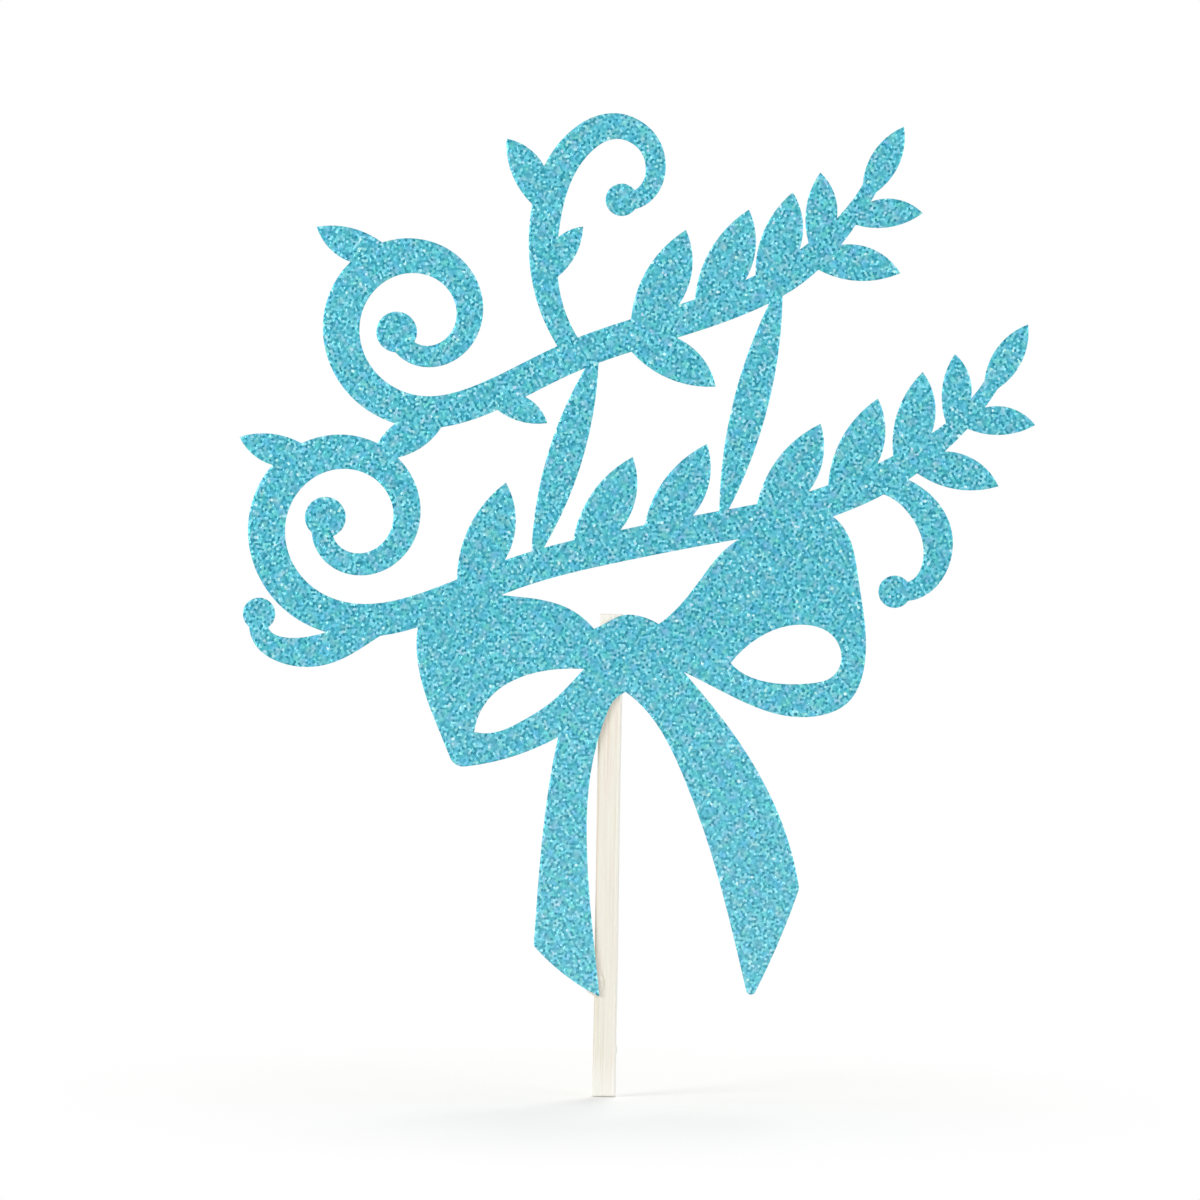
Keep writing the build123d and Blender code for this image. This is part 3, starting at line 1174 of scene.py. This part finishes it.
@dataclass
class GlueLump:
    """Lump of hot glue on the card's back that climbs the stick's sides.

    Its foot is an uneven ellipse on the card. Over the foot its height is the thin film under the
    stick, and beside the stick it falls from the stick's side to the rim in a hollow curve.
    """

    name: str
    part: Part
    finish: GlueFinish
    columns: int = 57
    rows: int = 41
    film: float = 0.2
    film_rise: float = 3.0
    climb: float = 1.15
    hollow_power: float = 1.5
    wobble: float = 0.07
    wobble_lengths: tuple[float, float] = (1.2, 3.0)
    wobble_waves: int = 6
    lump_share: float = 0.1
    lump_lengths: tuple[float, float] = (0.9, 2.6)
    lump_waves: int = 16
    step: float = 0.01
    merge_digits: int = 5
    seed: int = 3

    def foot(self, rng: Random) -> tuple[Array, Array, Array]:
        """Lays a grid over the foot, with columns along the stick's two sides.

        Columns stand at even turns of a half circle across the ellipse, and rows at even turns
        up each column. A slow wave draws the rim in.

        Args:
            rng: Source of the random numbers.

        Returns:
            Places across and up in millimetres, and the rise from the rim, 0 at it and 1 midway.
        """
        low, high = node_box(self.part)
        stick_low, stick_high = node_box(Part.STICK)
        centre, half = (low + high) / 2, (high - low) / 2
        left, right = stick_low[0], stick_high[0]
        walls = np.array([left - self.step, left, right, right + self.step])
        walls = walls[(walls > low[0]) & (walls < high[0])]
        even = centre[0] - half[0] * np.cos(np.linspace(0, math.pi, self.columns))
        across = np.unique(np.concatenate([even, walls]))[:, None]
        turns = np.linspace(-math.pi / 2, math.pi / 2, self.rows)
        reach = half[2] * np.sqrt(np.clip(1 - ((across - centre[0]) / half[0]) ** 2, 0, 1))
        wave = wave_field(across, np.array([self.wobble_lengths]), self.wobble_waves, rng)[:, None]
        drawn_in = 1 - self.wobble * (1 + np.clip(wave, -1, 1))
        up = centre[2] + reach * drawn_in * np.sin(turns)
        return np.broadcast_to(across, up.shape), up, np.broadcast_to(np.cos(turns), up.shape)

    def heights(self, across: Array, up: Array, rise: Array, rng: Random) -> Array:
        """Works out how high the lump stands on the card.

        Under the stick it is a film. Beside it, the height falls to the foot's end as a power of
        the way left, times the rise from the rim, with slow lumps.

        Args:
            across: Places across, in millimetres.
            up: Places up, in millimetres.
            rise: Rise from the rim, 0 at it and 1 midway.
            rng: Source of the random numbers.

        Returns:
            Heights in millimetres.
        """
        low, high = node_box(self.part)
        stick_low, stick_high = node_box(Part.STICK)
        beside = np.maximum(stick_low[0] - across, across - stick_high[0])
        on_left = across < (stick_low[0] + stick_high[0]) / 2
        spare = np.where(on_left, stick_low[0] - low[0], high[0] - stick_high[0])
        fall = np.clip(1 - beside / np.maximum(spare, self.step), 0, 1) ** self.hollow_power
        places = np.stack([across, up], axis=-1).reshape(-1, 2)
        lengths = np.array([self.lump_lengths, self.lump_lengths])
        lumps = wave_field(places, lengths, self.lump_waves, rng).reshape(up.shape)
        climbing = self.climb * fall * rise * (1 + self.lump_share * np.clip(lumps, -1, 1))
        height = np.where(beside > 0, climbing, self.film * np.minimum(1, self.film_rise * rise))
        height[[0, -1]] = 0
        return np.maximum(height, 0)

    def build(self) -> None:
        """Builds the lump from an upper and a flat lower sheet, joined along the rim."""
        rng = np.random.default_rng(self.seed)
        across, up, rise = self.foot(rng)
        base = np.full(up.shape, node_box(self.part)[0][1])
        upper = np.stack([across, base + self.heights(across, up, rise, rng), up], axis=-1)
        lower = np.stack([across, base, up], axis=-1)
        points = np.concatenate([upper.reshape(-1, 3), lower.reshape(-1, 3)])
        numbers = np.arange(up.size).reshape(up.shape)
        triangles = np.concatenate([grid_triangles(numbers[::-1]), grid_triangles(numbers) + up.size])
        places, merged = np.unique(points.round(self.merge_digits), axis=0, return_inverse=True)
        triangles = merged.ravel()[triangles]
        proper = (triangles != np.roll(triangles, 1, axis=1)).all(axis=1)
        piece = mesh_piece(self.name, places, triangles[proper], smooth=True)
        piece.data.materials.append(self.finish.material())
        stand_for(piece, self.part)


@dataclass
class PhotoCamera:
    """Camera square to the card, with the framing and the small roll of the photograph."""

    picture_px: float = 1200.0
    foot_px: tuple[float, float] = (604.0, 1097.0)
    px_per_mm: float = 6.0
    roll_deg: float = 0.911
    distance_mm: float = 800.0
    sensor_mm: float = 36.0
    clip_m: tuple[float, float] = (0.01, 20.0)

    def build(self) -> None:
        """Places the camera so that the stick's foot falls on its pixel, and makes it active.

        The lens is as long as it takes for a millimetre of the card to fill its pixels.
        """
        low, _ = node_box(Part.GLITTER)
        roll = math.radians(self.roll_deg)
        right = Vector((math.cos(roll), 0, math.sin(roll)))
        upward = Vector((-math.sin(roll), 0, math.cos(roll)))
        off_right = (self.picture_px / 2 - self.foot_px[0]) / self.px_per_mm
        off_up = (self.foot_px[1] - self.picture_px / 2) / self.px_per_mm
        aim = right * off_right + upward * off_up
        aim.y = low[1] - self.distance_mm
        data = bpy.data.cameras.new("photo_camera")
        data.sensor_width = self.sensor_mm
        data.lens = self.sensor_mm * self.distance_mm * self.px_per_mm / self.picture_px
        data.clip_start, data.clip_end = self.clip_m
        camera = bpy.data.objects.new("photo_camera", data)
        bpy.context.scene.collection.objects.link(camera)
        axes = Matrix((right, upward, Vector((0, -1, 0)))).transposed().to_4x4()
        camera.matrix_world = Matrix.Translation(aim * MM) @ axes
        bpy.context.scene.camera = camera


@dataclass(frozen=True)
class SoftLamp:
    """Square soft box that looks at the middle of the topper, with its place and size in metres."""

    name: str
    place: tuple[float, float, float]
    size: float
    watts: float

    def build(self, target: Vector) -> None:
        """Adds the lamp.

        Args:
            target: Point that the lamp looks at, in metres.
        """
        data = bpy.data.lights.new(self.name, "AREA")
        data.size = self.size
        data.energy = self.watts
        lamp = bpy.data.objects.new(self.name, data)
        lamp.location = self.place
        lamp.rotation_mode = "QUATERNION"
        lamp.rotation_quaternion = (target - lamp.location).to_track_quat("-Z", "Y")
        bpy.context.scene.collection.objects.link(lamp)


@dataclass
class WhiteStudio:
    """White room: a pale floor under the stick, soft lamps and a white backdrop all round.

    Radii are in metres.
    """

    floor_colour: str = "#F2F2F0"
    floor_radius: float = 6.0
    floor_sides: int = 96
    floor_gap_mm: float = 0.1
    floor_glow: float = 0.2
    shadow_radius: float = 0.01
    white_radius: float = 0.11
    ambient: float = 0.45
    white: str = "#FFFFFF"
    white_strength: float = 1.0
    lamps: tuple[SoftLamp, ...] = (
        SoftLamp("key_soft_box", (-0.8, -0.58, 0.32), 0.45, 5.0),
        SoftLamp("fill_soft_box", (0.85, -0.62, 0.25), 0.6, 3.1),
        SoftLamp("back_soft_box", (0.3, 0.9, 0.6), 0.6, 5.2),
    )

    @staticmethod
    def backdrop_share(tree: Tree) -> Socket:
        """Adds nodes that give 1 for rays that see the backdrop and 0 for rays that light things.

        Args:
            tree: Node tree that takes the nodes.

        Returns:
            Output socket of the share.
        """
        path = add_node(tree, "ShaderNodeLightPath")
        share = path.outputs[BackdropRay.CAMERA.value]
        for ray in (BackdropRay.GLOSSY, BackdropRay.TRANSMISSION):
            share = add_node(tree, "ShaderNodeMath", {"operation": "MAXIMUM"}, {
                0: share,
                1: path.outputs[ray.value],
            }).outputs[0]
        return share

    def build_world(self) -> None:
        """Sets a world that looks white and lights the topper evenly from all round."""
        world = bpy.data.worlds.new("white_room")
        world.use_nodes = True
        tree = world.node_tree
        tree.nodes.clear()
        light, white = (
            add_node(tree, "ShaderNodeBackground", {}, {
                "Color": linear(self.white),
                "Strength": strength,
            })
            for strength in (self.ambient, self.white_strength)
        )
        seen = add_node(tree, "ShaderNodeMixShader", {}, {
            0: self.backdrop_share(tree),
            1: light.outputs["Background"],
            2: white.outputs["Background"],
        })
        add_node(tree, "ShaderNodeOutputWorld", {}, {"Surface": seen.outputs["Shader"]})
        bpy.context.scene.world = world

    def build_floor(self) -> None:
        """Lays a round white floor just under the stick, which keeps the topper's shadow.

        Round the stick the floor is paper in the lamps' light. Further out it turns into the same
        white as the backdrop, for rays that see the backdrop.
        """
        low, _ = node_box(Part.STICK)
        angles = np.linspace(0, 2 * math.pi, self.floor_sides, endpoint=False)
        rim = np.stack([np.cos(angles), np.sin(angles)], axis=1) * self.floor_radius / MM
        height = np.full((self.floor_sides, 1), low[2] - self.floor_gap_mm)
        points = np.concatenate([rim, height], axis=1)
        floor = mesh_piece("floor", points, np.arange(self.floor_sides)[None], smooth=False)
        material, tree = blank_material("white_floor_paper")
        paper = add_node(tree, "ShaderNodeBsdfDiffuse", {}, {"Color": linear(self.floor_colour)})
        seen = self.backdrop_share(tree)
        glow = add_node(tree, "ShaderNodeMath", {"operation": "MULTIPLY"}, {
            0: seen,
            1: self.floor_glow,
        })
        shine = add_node(tree, "ShaderNodeEmission", {}, {"Strength": glow.outputs[0]})
        lit = add_node(tree, "ShaderNodeAddShader", {}, {0: paper.outputs[0], 1: shine.outputs[0]})
        place = add_node(tree, "ShaderNodeTexCoord").outputs["Object"]
        from_foot = add_node(tree, "ShaderNodeVectorMath", {"operation": "LENGTH"}, {0: place})
        away = add_node(tree, "ShaderNodeMapRange", {"interpolation_type": "SMOOTHSTEP"}, {
            "Value": from_foot.outputs["Value"],
            "From Min": self.shadow_radius,
            "From Max": self.white_radius,
        })
        share = add_node(tree, "ShaderNodeMath", {"operation": "MULTIPLY"}, {
            0: seen,
            1: away.outputs["Result"],
        })
        white = add_node(tree, "ShaderNodeEmission", {}, {"Strength": self.white_strength})
        both = add_node(tree, "ShaderNodeMixShader", {}, {
            0: share.outputs[0],
            1: lit.outputs["Shader"],
            2: white.outputs["Emission"],
        })
        add_node(tree, "ShaderNodeOutputMaterial", {}, {"Surface": both.outputs["Shader"]})
        floor.data.materials.append(material)

    def build(self) -> None:
        """Builds the world, the floor and the lamps."""
        bpy.context.scene.view_settings.view_transform = "Standard"
        self.build_world()
        self.build_floor()
        middle = (CAD_BOX[0] + CAD_BOX[1]) / 2
        for lamp in self.lamps:
            lamp.build(middle)


def main() -> None:
    """Builds the studio and dresses the topper, piece by piece."""
    logging.basicConfig(level=logging.INFO)
    WhiteStudio().build()
    PhotoCamera().build()
    CardCore(CardFinish()).dress()
    GlitterCoat(GlitterFinish()).build()
    WoodenStick(WoodFinish()).build()
    glue = GlueFinish()
    GlueLump("knot_glue_lump", Part.KNOT_GLUE, glue).build()
    GlueLump("tail_glue_lump", Part.TAIL_GLUE, glue, seed=8).build()


if __name__ == "__main__":
    main()
